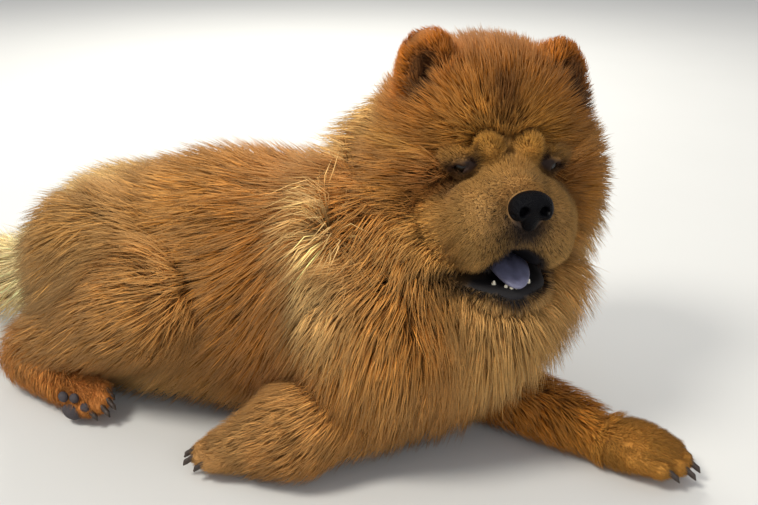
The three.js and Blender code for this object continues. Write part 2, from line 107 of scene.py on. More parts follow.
# Per form: way the coat lies (body frame, or None = away from the face), sine of its lift, colour (sRGB), density
LOOK = {
  "chest": ((-0.25, 0, -1), 0.55, (178, 114, 42), 1.0), "barrel": ((-0.9, 0, -0.45), 0.5, (172, 119, 58), 1.1),
  "rump": ((-0.95, 0, -0.35), 0.5, (206, 172, 124), 1.0), "mane": (None, 0.62, (224, 182, 126), 1.4),
  "collar": (None, 0.6, (226, 190, 140), 1.6), "ruff": ((0.1, 0, -1), 0.6, (208, 162, 104), 1.3), "skull": (None, 0.6, (130, 75, 13), 2.6),
  "cheek": (None, 0.55, (176, 125, 50), 2.4), "brow": (None, 0.6, (202, 146, 62), 6), "bridge": (None, 0.75, (190, 140, 84), 6),
  "flew": (None, 0.75, (198, 152, 94), 5), "jowl": (None, 0.7, (204, 152, 84), 4), "lip": (None, 0.75, (130, 104, 88), 5), "shoulder": ((-0.3, 0, -0.95), 0.55, (184, 120, 48), 1.0),
  "forearm_l": ((0.75, 0.1, -0.6), 0.42, (184, 118, 44), 1.9), "forepaw_l": ((1, 0, -0.35), 0.4, (200, 142, 68), 3.2),
  "forearm_r": ((-0.6, -0.5, -0.55), 0.42, (190, 143, 90), 1.7), "forepaw_r": ((-0.85, -0.45, -0.3), 0.4, (196, 148, 98), 2.2),
  "thigh_r": ((-0.8, -0.1, -0.6), 0.45, (164, 120, 70), 1.2), "shank_r": ((-0.88, -0.1, -0.45), 0.5, (174, 124, 72), 1.4),
  "hindfoot_r": ((0.5, -0.2, -0.6), 0.4, (206, 134, 72), 2.4), "thigh_l": ((-0.8, 0.1, -0.6), 0.5, (206, 150, 84), 1.0),
  "shank_l": ((-0.88, 0.1, -0.45), 0.5, (208, 124, 56), 1.2), "hindfoot_l": ((0.6, 0.2, -0.6), 0.4, (206, 134, 72), 2.2),
  "tail": ((-1, 0, -0.25), 0.6, (244, 224, 196), 1.1), "jaw": (None, 0.7, (196, 146, 88), 4), "chin": (None, 0.7, (214, 176, 130), 4),
  "ear": (None, 0.35, (180, 108, 40), 4),
}
def look(name):
    for k in (name, name.split("_toe")[0], name.rsplit("_", 1)[0]):
        if k in LOOK: return LOOK[k]
    return LOOK[name.split("_")[0]]

rad = math.pi / 180
def rot(a, b, t):
    c, s = math.cos(t), math.sin(t)
    return a * c - b * s, a * s + b * c
def to_head(P):
    x, y, z = (P[:, i] - HEAD_AT[i] for i in range(3))
    x, y = rot(x, y, -HEAD_YAW * rad); x, z = rot(x, z, HEAD_PITCH * rad); y, z = rot(y, z, -HEAD_ROLL * rad)
    return np.stack([x, y, z], 1)
def from_head(H, vector=False):
    H = np.atleast_2d(np.asarray(H, float)); x, y, z = H.T
    y, z = rot(y, z, HEAD_ROLL * rad); x, z = rot(x, z, -HEAD_PITCH * rad); x, y = rot(x, y, HEAD_YAW * rad)
    P = np.stack([x, y, z], 1)
    return P if vector else P + HEAD_AT
def ell(Q, v, less=0.0):
    x, y, z = Q[:, 0] - v[0], Q[:, 1] - v[1], Q[:, 2] - v[2]
    if v[6]: x, y = rot(x, y, -v[6] * rad)
    if v[7]: x, z = rot(x, z, v[7] * rad)
    a, b, c = (max(r - less, 1.0) for r in v[3:6])
    x, y, z = x / a, y / b, z / c
    k0 = np.sqrt(x * x + y * y + z * z)
    k1 = np.sqrt((x / a) ** 2 + (y / b) ** 2 + (z / c) ** 2) + 1e-9
    return k0 * (k0 - 1) / k1
def cone(Q, v, less=0.0):
    a, ra, b, rb = np.array(v[:3], float), max(v[3] - less, 1.0), np.array(v[4:7], float), max(v[7] - less, 1.0)
    ba = b - a; pa = Q - a; l2 = ba @ ba; rr = ra - rb; a2 = l2 - rr * rr
    t = pa @ ba
    x2 = ((pa * l2 - np.outer(t, ba)) ** 2).sum(1); y, z = t, t - l2
    y2, z2, k = y * y * l2, z * z * l2, math.copysign(1, rr) * rr * rr * x2
    d = (np.sqrt(x2 * a2 / l2) + y * rr) / l2 - ra
    d = np.where(np.sign(z) * a2 * z2 > k, np.sqrt(x2 + z2) / l2 - rb, d)
    return np.where((np.sign(y) * a2 * y2 < k) & ~(np.sign(z) * a2 * z2 > k), np.sqrt(x2 + y2) / l2 - ra, d)
def prim(f, P, H, less=0.0):
    Q = H if f[2] == "H" else P
    return ell(Q, f[3:], less) if f[1] == "E" else cone(Q, f[3:], less)
def smin(a, b, k):
    h = np.maximum(k - np.abs(a - b), 0) / k
    return np.minimum(a, b) - h * h * k * 0.25
def smax(a, b, k): return -smin(-a, -b, k)

EYE = dict(r=11.5, x=63, y=44, z=-4)
FOLDS = []  # grooves of the face: chains of points in the head's frame, radius
for s in (1, -1):
    FOLDS.append(([(72, s * 52, -8), (62, s * 68, -20), (52, s * 80, -40), (46, s * 86, -76)], 5.0))
    FOLDS.append(([(80, s * 36, 2), (76, s * 34, 14)], 3.0))
    FOLDS.append(([(78, s * 33, -8), (70, s * 52, -34), (62, s * 62, -58)], 3.0))
FOLDS.append(([(76, 0, 6), (70, 0, 40), (52, 0, 76)], 5.0))
def lines(H, chain):
    d = np.full(len(H), 1e9)
    for a, b in zip(chain[:-1], chain[1:]):
        a, b = np.array(a, float), np.array(b, float)
        t = np.clip((H - a) @ (b - a) / ((b - a) @ (b - a)), 0, 1)
        d = np.minimum(d, np.linalg.norm(H - a - t[:, None] * (b - a), axis=1))
    return d
MOUTH = [122, 0, -98, 44, 25, 26, 0, 0]
SLOT = [72, 0, -112, 76, 76, 11, 0, 0]  # the gap between the lips
SLITS = {s: [(79, s * 34, 1), (72, s * 56, -9)] for s in (1, -1)}
def skin_field(P, face=True):
    H = to_head(P); d = None
    for f in FORMS:
        e = prim(f, P, H, f[-1]); d = e if d is None else smin(d, e, f[-2])
    near = np.nonzero((np.abs(H[:, 0] - 50) < 130) & (np.abs(H[:, 1]) < 130) & (np.abs(H[:, 2]) < 170))[0]
    if len(near):
        h, p, e = H[near], P[near], d[near]
        for s in (1, -1):  # lids over the eyes
            e = smin(e, ell(h, [EYE["x"] - 0.5, s * EYE["y"], EYE["z"], 15.2, 19, 14.5, 0, 0]), 10)
        for chain, r in FOLDS: e = smax(e, r - lines(h, chain), 7)
        for s in (1, -1):
            e = smax(e, 1.1 - lines(h, SLITS[s]), 2)
        e = smax(e, -ell(h, MOUTH), 5)
        e = smax(e, -ell(h, SLOT), 3)
        j = smin(prim(JAW[0], p, h, 6), prim(JAW[1], p, h, 3), 12)
        j = smax(j, -ell(h, [80, -2, -105, 60, 50, 12, 0, 0]), 5)
        j = smax(j, -ell(h, [64, -2, -110, 66, 76, 9, 0, 0]), 3)
        e = smin(e, j, 2)
        for f, s in zip(EARS, (1, -1)):
            q = prim(f, p, h, f[-1])
            cup = ell(h, [f[3] + 24, f[4] + s * 6.0, f[5] - 7, 24, 18, 30, f[9], 0])
            e = smin(e, smax(q, -cup, 5), f[-2])
        d[near] = e
    return smax(d, 1.2 - P[:, 2], 2)

# ---- surface nets ---------------------------------------------------------------------------
def nets(field, lo, hi, h, polish=3):
    lo = np.array(lo, float); n = (np.ceil((np.array(hi) - lo) / h / 4).astype(int) + 1) * 4
    nb = n // 4
    bi = np.stack(np.meshgrid(*[np.arange(k) for k in nb], indexing="ij"), -1).reshape(-1, 3)
    dc = field(lo + (bi * 4 + 1.5) * h)
    val = np.repeat(np.repeat(np.repeat(dc.reshape(nb), 4, 0), 4, 1), 4, 2).astype(np.float32)
    hot = bi[np.abs(dc) < 4 * h * 1.5]
    off = np.stack(np.meshgrid(*[np.arange(4)] * 3, indexing="ij"), -1).reshape(-1, 3)
    for part in np.array_split(hot, max(1, len(hot) // 4000)):
        ix = (part[:, None, :] * 4 + off[None]).reshape(-1, 3)
        val[ix[:, 0], ix[:, 1], ix[:, 2]] = field(lo + ix * h)
    for a in range(3):
        s = [slice(None)] * 3
        for e in (0, -1):
            s[a] = e; val[tuple(s)] = np.maximum(val[tuple(s)], h)
    neg = val < 0
    c = [neg[i:n[0] - 1 + i, j:n[1] - 1 + j, k:n[2] - 1 + k] for i in (0, 1) for j in (0, 1) for k in (0, 1)]
    tot = sum(x.astype(np.int8) for x in c)
    cells = np.argwhere((tot > 0) & (tot < 8))
    acc, cnt = np.zeros((len(cells), 3)), np.zeros(len(cells))
    for a in range(3):
        o1, o2 = [x for x in range(3) if x != a]
        for u in (0, 1):
            for w in (0, 1):
                st = cells.copy(); st[:, o1] += u; st[:, o2] += w
                en = st.copy(); en[:, a] += 1
                v0 = val[st[:, 0], st[:, 1], st[:, 2]]; v1 = val[en[:, 0], en[:, 1], en[:, 2]]
                m = (v0 < 0) != (v1 < 0)
                t = np.where(m, v0 / np.where(m, v0 - v1, 1), 0)
                q = (st - cells).astype(float); q[:, a] += t
                acc += q * m[:, None]; cnt += m
    P = lo + (cells + acc / cnt[:, None]) * h
    idx = np.full(n - 1, -1, np.int64); idx[cells[:, 0], cells[:, 1], cells[:, 2]] = np.arange(len(cells))
    quads = []
    for a in range(3):
        b, g = (a + 1) % 3, (a + 2) % 3
        s0 = [slice(None)] * 3; s1 = [slice(None)] * 3
        s0[a] = slice(0, n[a] - 1); s1[a] = slice(1, n[a])
        A, B = neg[tuple(s0)], neg[tuple(s1)]
        e = np.argwhere(A != B)
        e = e[(e[:, b] > 0) & (e[:, g] > 0)]
        flip = ~A[e[:, 0], e[:, 1], e[:, 2]]
        q = []
        for x, y in ((0, 0), (-1, 0), (-1, -1), (0, -1)):
            w = e.copy(); w[:, b] += x; w[:, g] += y; q.append(idx[w[:, 0], w[:, 1], w[:, 2]])
        q = np.stack(q, 1); q[flip] = q[flip][:, ::-1]
        quads.append(q)
    Q = np.concatenate(quads); Q = Q[(Q >= 0).all(1)]
    for _ in range(polish):
        d, g = slope(field, P)
        P = P - g * np.clip(d, -h * 0.4, h * 0.4)[:, None]
    return P, Q
def slope(field, P, e=0.8):
    d = field(P)
    g = np.stack([field(P + np.eye(3)[i] * e) - d for i in range(3)], 1) / e
    return d / np.maximum(np.linalg.norm(g, axis=1), 0.4), g / np.maximum(np.linalg.norm(g, axis=1), 1e-6)[:, None]
def mesh_of(name, P, faces, shift=True):
    m = bpy.data.meshes.new(name)
    P = (P + (SHIFT if shift else 0)) / 1000
    k = faces.shape[1]
    m.vertices.add(len(P)); m.vertices.foreach_set("co", P.astype(np.float32).ravel())
    m.loops.add(faces.size); m.loops.foreach_set("vertex_index", faces.astype(np.int32).ravel())
    m.polygons.add(len(faces)); m.polygons.foreach_set("loop_start", np.arange(len(faces), dtype=np.int32) * k)
    m.polygons.foreach_set("loop_total", np.full(len(faces), k, np.int32))
    m.update(calc_edges=True); m.validate()
    m.polygons.foreach_set("use_smooth", np.ones(len(m.polygons), bool))
    o = bpy.data.objects.new(name, m); bpy.context.scene.collection.objects.link(o)
    return o
def paint(o, rgb, name="coat_colour"):
    a = o.data.color_attributes.new(name, "FLOAT_COLOR", "POINT")
    a.data.foreach_set("color", np.concatenate([rgb, np.ones((len(rgb), 1))], 1).astype(np.float32).ravel())

# ---- markings -------------------------------------------------------------------------------
def lin(c):
    c = np.asarray(c, float) / 255
    return np.where(c <= 0.04045, c / 12.92, ((c + 0.055) / 1.055) ** 2.4)
def wave(P, size, seed):  # smooth random field in -1..1, from a few tilted waves
    r = np.random.default_rng(seed); s = 0
    for _ in range(6):
        k = r.normal(size=3); k /= np.linalg.norm(k)
        s = s + np.sin(P @ k * (2 * math.pi / size) * r.uniform(0.6, 1.5) + r.uniform(0, 6.3))
    return s / 3.2
ALL = FORMS + JAW + EARS
def weights(P, H, reach=16):
    D = np.stack([prim(f, P, H, f[-1]) for f in ALL], 1)
    W = np.exp(-np.clip(D, 0, 400) / reach)
    return W / W.sum(1, keepdims=True)
PALETTE = np.stack([lin(look(f[0])[2]) for f in ALL])
def bump(d, w): return np.exp(-(d / w) ** 2)
def markings(P, H, W):
    C = W @ PALETTE
    C = C * (1 + 0.10 * wave(P, 120, 3) + 0.07 * wave(P, 38, 4))[:, None]
    pale, dark, red = lin((238, 205, 150)), lin((34, 27, 30)), lin((146, 80, 18))
    mix = lambda C, c, t: C * (1 - t[:, None]) + c * t[:, None]
    # painted shade: a deeper red-orange low on the breast, under the ruff and near the floor
    C = mix(C, red, np.clip(0.55 * bump(P[:, 2] - 30, 70) * (P[:, 0] > 60) * (P[:, 0] < 300) * (H[:, 0] < 240), 0, 1) * 0.5)
    C = mix(C, red, 0.4 * np.clip((H[:, 2] - 40) / 60, 0, 1) * (np.linalg.norm(H - (0, 0, 40), axis=1) < 170))
    C = mix(C, pale, 0.55 * np.clip((-P[:, 0] - 330) / 90, 0, 1))
    for s in (1, -1):
        C = mix(C, dark, np.clip(1.6 * bump(lines(H, SLITS[s]), 7.0), 0, 1))
        C = mix(C, dark, 0.8 * bump(np.linalg.norm(H - (80, s * 35, 3), axis=1), 8))
        p = np.linalg.norm((H - (58, s * 66, -26)) / (2, 1.4, 0.8), axis=1)
        C = mix(C, lin((88, 56, 52)), 0.8 * bump(p, 19))
        # painted shade: the inside of each ear's cup is darkened
        f = EARS[0 if s > 0 else 1]
        cup = ell(H, [f[3] + 24, f[4] + s * 6.0, f[5] - 7, 24, 18, 30, f[9], 0])
        C = mix(C, lin((58, 38, 30)), np.clip(1.2 * bump(np.maximum(cup + 2.5, 0), 4), 0, 0.9))
    # painted shade: the face's folds and the forehead furrow are darkened along their grooves
    for i, (chain, r) in enumerate(FOLDS):
        C = mix(C, lin((54, 30, 24)), (0.6 if i == len(FOLDS) - 1 else 0.92) * bump(lines(H, chain), r * 2.1))
    C = mix(C, lin((70, 38, 20)), 0.75 * bump(np.linalg.norm((H - (58, -6, 52)) / (2, 1, 1.7), axis=1), 13))
    n = np.linalg.norm((H - (146, 0, -40)) / (0.8, 0.95, 1.05), axis=1)
    C = mix(C, lin((46, 38, 42)), np.clip(1.2 * bump(n, 24), 0, 0.95))
    C = mix(C, lin((222, 186, 128)), 0.4 * bump(np.linalg.norm((H - (112, 0, -62)) / (1, 1.5, 1.2), axis=1), 34) * (1 - bump(n, 34)))
    m = ell(H, MOUTH)
    C = mix(C, lin((36, 34, 44)), np.clip(1.3 * bump(np.maximum(m, 0), 7), 0, 1) * (H[:, 2] < -58) * (H[:, 0] > 20))
    mouthy = sum(W[:, i] for i, f in enumerate(ALL) if f[0].split("_")[0] in ("jaw", "chin", "flew", "jowl", "lip"))
    lip = np.maximum(np.maximum(-120.5 - H[:, 2], H[:, 2] + 104), 0)
    C = mix(C, lin((30, 28, 34)), np.clip(1.2 * bump(lip, 3), 0, 1) * np.clip(mouthy * 2 - 0.3, 0, 1) * (H[:, 0] > 26))
    # the mane's pale ends, and painted shade of the mane: a deeper orange on the breast below it and on the back behind
    # it
    ruffy = sum(W[:, i] for i, f in enumerate(ALL) if f[0].split("_")[0] in ("mane", "ruff", "collar"))
    C = mix(C, lin((236, 200, 146)), 0.28 * ruffy * np.clip((60 - H[:, 0]) / 160, 0, 1) * (H[:, 1] < 60))
    C = mix(C, lin((150, 88, 30)), 0.5 * (1 - ruffy) * np.clip((P[:, 0] + 90) / 120, 0, 1) * (H[:, 0] < 60) * (P[:, 2] < 330))
    return np.clip(C * (1.1, 1.06, 0.82), 0.004, 0.95)

# ---- materials --------------------------------------------------------------------------------
def material(name, rough=0.6, colour=None, attribute=False, noise=0.0, noise_scale=60, bump_scale=0, bump_strength=0.2, sheen=0.0, coat=0.0, spec=0.3, voronoi=False, detail=4):
    m = bpy.data.materials.new(name); m.use_nodes = True
    nt = m.node_tree; b = nt.nodes["Principled BSDF"]
    b.inputs["Roughness"].default_value = rough
    b.inputs["Specular IOR Level"].default_value = spec
    if sheen:
        b.inputs["Sheen Weight"].default_value = sheen; b.inputs["Sheen Roughness"].default_value = 0.4
        b.inputs["Sheen Tint"].default_value = (1.0, 0.8, 0.55, 1)
    if coat: b.inputs["Coat Weight"].default_value = coat; b.inputs["Coat Roughness"].default_value = 0.12
    co = nt.nodes.new("ShaderNodeTexCoord")
    nz = nt.nodes.new("ShaderNodeTexNoise"); nz.inputs["Scale"].default_value = noise_scale; nz.inputs["Detail"].default_value = detail
    nt.links.new(co.outputs["Object"], nz.inputs["Vector"])
    if attribute:
        src = nt.nodes.new("ShaderNodeAttribute"); src.attribute_name = "coat_colour"; base = src.outputs["Color"]
    else:
        src = nt.nodes.new("ShaderNodeRGB"); src.outputs[0].default_value = (*colour, 1); base = src.outputs[0]
    ramp = nt.nodes.new("ShaderNodeMapRange"); ramp.inputs["From Min"].default_value = 0.3; ramp.inputs["From Max"].default_value = 0.7
    ramp.inputs["To Min"].default_value = 1 - noise; ramp.inputs["To Max"].default_value = 1 + noise
    nt.links.new(nz.outputs["Fac"], ramp.inputs["Value"])
    mul = nt.nodes.new("ShaderNodeVectorMath"); mul.operation = "SCALE"
    nt.links.new(base, mul.inputs[0]); nt.links.new(ramp.outputs[0], mul.inputs["Scale"])
    nt.links.new(mul.outputs[0], b.inputs["Base Color"])
    if bump_scale:
        tex = nt.nodes.new("ShaderNodeTexVoronoi" if voronoi else "ShaderNodeTexNoise"); tex.inputs["Scale"].default_value = bump_scale
        nt.links.new(co.outputs["Object"], tex.inputs["Vector"])
        bp = nt.nodes.new("ShaderNodeBump"); bp.inputs["Strength"].default_value = bump_strength; bp.inputs["Distance"].default_value = 0.001
        nt.links.new(tex.outputs["Distance" if voronoi else "Fac"], bp.inputs["Height"]); nt.links.new(bp.outputs[0], b.inputs["Normal"])
    return m
M_SKIN = material("skin", 0.75, attribute=True, noise=0.12, noise_scale=90, bump_scale=500, bump_strength=0.4)
M_COAT = material("coat", 0.78, attribute=True, noise=0.08, noise_scale=35, sheen=0.06, spec=0.08)
def strands(m):  # each tuft reads as several hairs side by side
    nt = m.node_tree; b = nt.nodes["Principled BSDF"]
    at = nt.nodes.new("ShaderNodeAttribute"); at.attribute_name = "strand"
    sc = nt.nodes.new("ShaderNodeVectorMath"); sc.operation = "MULTIPLY"; sc.inputs[1].default_value = (2.2, 1.2, 7)
    nz = nt.nodes.new("ShaderNodeTexNoise"); nz.inputs["Scale"].default_value = 1.0; nz.inputs["Detail"].default_value = 1.0
    nt.links.new(at.outputs["Vector"], sc.inputs[0]); nt.links.new(sc.outputs[0], nz.inputs["Vector"])
    rng = nt.nodes.new("ShaderNodeMapRange"); rng.inputs["From Min"].default_value = 0.35; rng.inputs["From Max"].default_value = 0.65
    rng.inputs["To Min"].default_value = 0.76; rng.inputs["To Max"].default_value = 1.24
    nt.links.new(nz.outputs["Fac"], rng.inputs["Value"])
    old = b.inputs["Base Color"].links[0].from_socket
    mul = nt.nodes.new("ShaderNodeVectorMath"); mul.operation = "SCALE"
    nt.links.new(old, mul.inputs[0]); nt.links.new(rng.outputs[0], mul.inputs["Scale"]); nt.links.new(mul.outputs[0], b.inputs["Base Color"])
    bp = nt.nodes.new("ShaderNodeBump"); bp.inputs["Strength"].default_value = 0.5; bp.inputs["Distance"].default_value = 0.0006
    nt.links.new(nz.outputs["Fac"], bp.inputs["Height"]); nt.links.new(bp.outputs[0], b.inputs["Normal"])
strands(M_COAT)
M_NOSE = material("nose_leather", 0.46, colour=lin((7, 7, 10)), noise=0.3, noise_scale=120, bump_scale=650, bump_strength=0.9, spec=0.07, voronoi=True)
M_TONGUE = material("tongue", 0.42, colour=lin((104, 104, 128)), noise=0.2, noise_scale=90, bump_scale=1100, bump_strength=0.4, spec=0.5, coat=0.2)
M_EYE = material("eye", 0.25, colour=lin((10, 7, 5)), noise=0.3, noise_scale=200, spec=0.25, coat=0.08)
M_CLAW = material("claw", 0.4, colour=lin((62, 52, 46)), noise=0.3, noise_scale=150, bump_scale=300, bump_strength=0.15)
M_PAD = material("paw_pad", 0.7, colour=lin((66, 60, 62)), noise=0.2, noise_scale=150, bump_scale=700, bump_strength=0.7, voronoi=True)
M_TOOTH = material("tooth", 0.3, colour=lin((232, 224, 200)), noise=0.06, noise_scale=150, coat=0.3)

# ---- skin ---------------------------------------------------------------------------------------
P, Q = nets(skin_field, (-640, -210, -12), (470, 275, 490), CELL)
skin = mesh_of("skin", P, Q)
H = to_head(P); W = weights(P, H)
# the skin gets the coat's colours darkened by a quarter: painted shade under the coat
paint(skin, markings(P, H, W) * 0.75)
skin.data.materials.append(M_SKIN)
FLESH = [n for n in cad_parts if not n.startswith(("claw", "eye")) and n not in ("nose", "tongue")]
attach(skin, "root"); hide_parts(*FLESH)

# ---- coat ---------------------------------------------------------------------------------------
tri = np.concatenate([Q[:, [0, 1, 2]], Q[:, [0, 2, 3]]])
A, B, C3 = P[tri[:, 0]], P[tri[:, 1]], P[tri[:, 2]]
cr = np.cross(B - A, C3 - A); area = np.linalg.norm(cr, axis=1) / 2
mid = (A + B + C3) / 3
Hm = to_head(mid); Wm = weights(mid, Hm)
dens = Wm @ np.array([look(f[0])[3] for f in ALL])
nz = cr[:, 2] / np.maximum(2 * area, 1e-9)
dens = dens * np.where((mid[:, 2] < 6) & (nz < -0.3), 0.02, 1) * np.where((nz < -0.6) & (mid[:, 2] < 60), 0.35, 1)
cum = np.cumsum(area * dens); pick = np.searchsorted(cum, RNG.random(TUFTS) * cum[-1])
pick = np.minimum(pick, len(tri) - 1)
r1, r2 = np.sqrt(RNG.random(TUFTS)), RNG.random(TUFTS)
R = A[pick] * (1 - r1)[:, None] + B[pick] * (r1 * (1 - r2))[:, None] + C3[pick] * (r1 * r2)[:, None]
H = to_head(R)
# bare places: the eye slits, the nose, the inside of the mouth, the soles
bare = np.zeros(len(R), bool)
for s in (1, -1):
    bare |= (np.linalg.norm((H - (76, s * 44, -5)) / (2.0, 1.35, 0.55), axis=1) < 10)
bare |= np.linalg.norm((H - (150, 0, -22)) / (1.1, 1.12, 0.95), axis=1) < 21
bare |= (ell(H, MOUTH) < 1.5) & (H[:, 0] > 40)
bare |= (ell(H, SLOT) < 0.5) & (H[:, 0] > 36)
R, pick = R[~bare], pick[~bare]
_, N = slope(skin_field, R); H = to_head(R); W = weights(R, H)
count = len(R)
flow = np.zeros((count, 3)); lift = np.zeros(count); deep = np.zeros(count)
away = H - (112, 0, -18); away /= np.linalg.norm(away, axis=1)[:, None]
away = from_head(away, True)
for i, f in enumerate(ALL):
    v, l, _, _ = look(f[0]); w = W[:, i]
    if v is None: d = away + (np.array([0, 0, -0.9]) if f[0] == "mane" else np.array([0, 0, -0.7]) if f[0].startswith("collar") else 0)
    else: d = np.array(v, float)[None] / np.linalg.norm(v)
    flow += w[:, None] * d; lift += w * l; deep += w * f[-1]
flow += 0.16 * np.stack([wave(R, 90, 11), wave(R, 90, 12), wave(R, 90, 13)], 1)
flow -= (flow * N).sum(1)[:, None] * N
flow /= np.maximum(np.linalg.norm(flow, axis=1), 1e-3)[:, None]
side = np.cross(N, flow)
length = np.clip(deep / np.maximum(lift, 0.3), 6, 72) * 0.92
folds = np.full(count, 99.0)
for chain, r in FOLDS[:6]: folds = np.minimum(folds, lines(H, chain))
length *= 1 - 0.65 * np.exp(-(folds / 15) ** 2)
length *= 1 - 0.5 * np.exp(-(np.maximum(ell(H, SLOT), 0) / 9) ** 2) * (H[:, 0] > 20)
kind = (length < 17) | (RNG.random(count) < 0.60)  # the second kind is straight: short coat, and filling under the long
length *= RNG.uniform(0.72, 1.14, count) * np.where(kind & (length > 17), 0.72, 1.0)
lift = np.clip(lift + RNG.normal(0, 0.09, count), 0.15, 0.9)
cosl = np.sqrt(1 - lift ** 2)
sway = RNG.normal(0, 0.13, count)
D = flow * cosl[:, None] + N * lift[:, None] + side * sway[:, None]
D /= np.linalg.norm(D, axis=1)[:, None]
D0 = flow * (cosl * 0.75)[:, None] + N * (lift * 1.5)[:, None] + side * (sway * 0.6)[:, None]
D0 /= np.linalg.norm(D0, axis=1)[:, None]
drop = np.zeros((count, 3)); drop[:, 2] = -0.10 * length * np.clip(length / 60, 0, 1.3)
tip = R + D * length[:, None] + drop; half = R + D0 * (length * 0.5)[:, None] + drop * 0.12
# locks: neighbours gather to a leading tuft
lead = RNG.choice(np.nonzero(~kind)[0], count // 34, replace=False)
tree = kdtree.KDTree(len(lead))
for i, j in enumerate(lead): tree.insert(Vector(R[j]), i)
tree.balance()
own = np.array([lead[tree.find(Vector(p))[1]] for p in R])
gather = np.clip(length / 80, 0.10, 0.6) * RNG.uniform(0.3, 0.9, count)
offset = tip[own] - R[own]
want = R + (R[own] - R) * 0.75 + offset * (length / length[own])[:, None] * 0.98
ok = (np.linalg.norm(R - R[own], axis=1) < 40) & ((N * N[own]).sum(1) > 0.2)
g = (gather * ok)[:, None]
tip = tip * (1 - g) + want * g
half = half * (1 - g * 0.35) + (R + (R[own] - R) * 0.35 + (half[own] - R[own])) * g * 0.35
# the tips end on the outline of the coat
def outline(P):
    H = to_head(P); d = None
    for f in FORMS + JAW + EARS:
        e = prim(f, P, H); d = e if d is None else smin(d, e, max(f[-2], 8))
    return d
od, on = slope(outline, tip, 2.0)
goal = np.where(kind, -deep * 0.22, 3.5) + RNG.normal(0, 1, count) * np.clip(deep * 0.1, 0.8, 5)
push = np.clip(od - goal, -0.5 * deep, 60) * 0.85
tip = tip - on * push[:, None]
half = half - on * (push * 0.3)[:, None]
half[:, 2] = np.maximum(half[:, 2], 1.5 + 3 * RNG.random(count)); tip[:, 2] = np.maximum(tip[:, 2], 0.8 + 4 * RNG.random(count))
wide = np.clip(0.36 + length * 0.0085, 0.4, 1.0) * RNG.uniform(0.75, 1.2, count)
R0 = R - N * 1.0
along = half - R0; along /= np.linalg.norm(along, axis=1)[:, None]
u = np.cross(along, N + 0.01); u /= np.maximum(np.linalg.norm(u, axis=1), 1e-6)[:, None]; v = np.cross(along, u)
V = np.empty((count, 7, 3)); V[:, 6] = tip
for k in range(3):
    t = 2 * math.pi * k / 3 + math.pi / 2
    d = u * math.cos(t) + v * math.sin(t) * 0.6
    V[:, k] = R0 + d * wide[:, None]; V[:, 3 + k] = half + d * (wide * 0.85)[:, None]
V[:, :, 2] = np.maximum(V[:, :, 2], 0.4)
STRAND = np.empty((count, 7, 3)); ident = RNG.random(count) * 900
for k in range(3):
    STRAND[:, k, 0] = ident + k * 1.6; STRAND[:, 3 + k, 0] = ident + k * 1.6
STRAND[:, 6, 0] = ident + 1.6; STRAND[:, :3, 1] = 0; STRAND[:, 3:6, 1] = 0.5; STRAND[:, 6, 1] = 1.0; STRAND[:, :, 2] = (length / 100)[:, None]
FACE = np.array([[0, 2, 1], [0, 1, 4], [0, 4, 3], [1, 2, 5], [1, 5, 4], [2, 0, 3], [2, 3, 5], [3, 4, 6], [4, 5, 6], [5, 3, 6]])
col = markings(R, H, W)
near_nose = np.exp(-(np.linalg.norm((H - (140, 0, -48)) / (1, 1.1, 1.2), axis=1) / 42) ** 2)
stubble = RNG.random(count) < 0.5 * near_nose ** 1.7
col[stubble] = lin((38, 32, 34))
tone = np.exp(RNG.normal(0, 0.13, count) + 0.16 * RNG.normal(0, 1, len(R))[own])
col = col * tone[:, None]
tipc = col * 1.0 + (lin((240, 204, 150)) - col) * (0.26 * np.clip(length / 60, 0, 1) * np.clip(col[:, :1].ravel() * 3, 0, 1))[:, None]
# tuft roots at 0.68 of the colour: painted shade deep in the coat; the tips paler
VC = np.empty((count, 7, 3)); VC[:, :3] = (col * 0.68)[:, None]; VC[:, 3:6] = (col * 1.0)[:, None]; VC[:, 6] = tipc
VC = np.clip(VC, 0.003, 0.97)
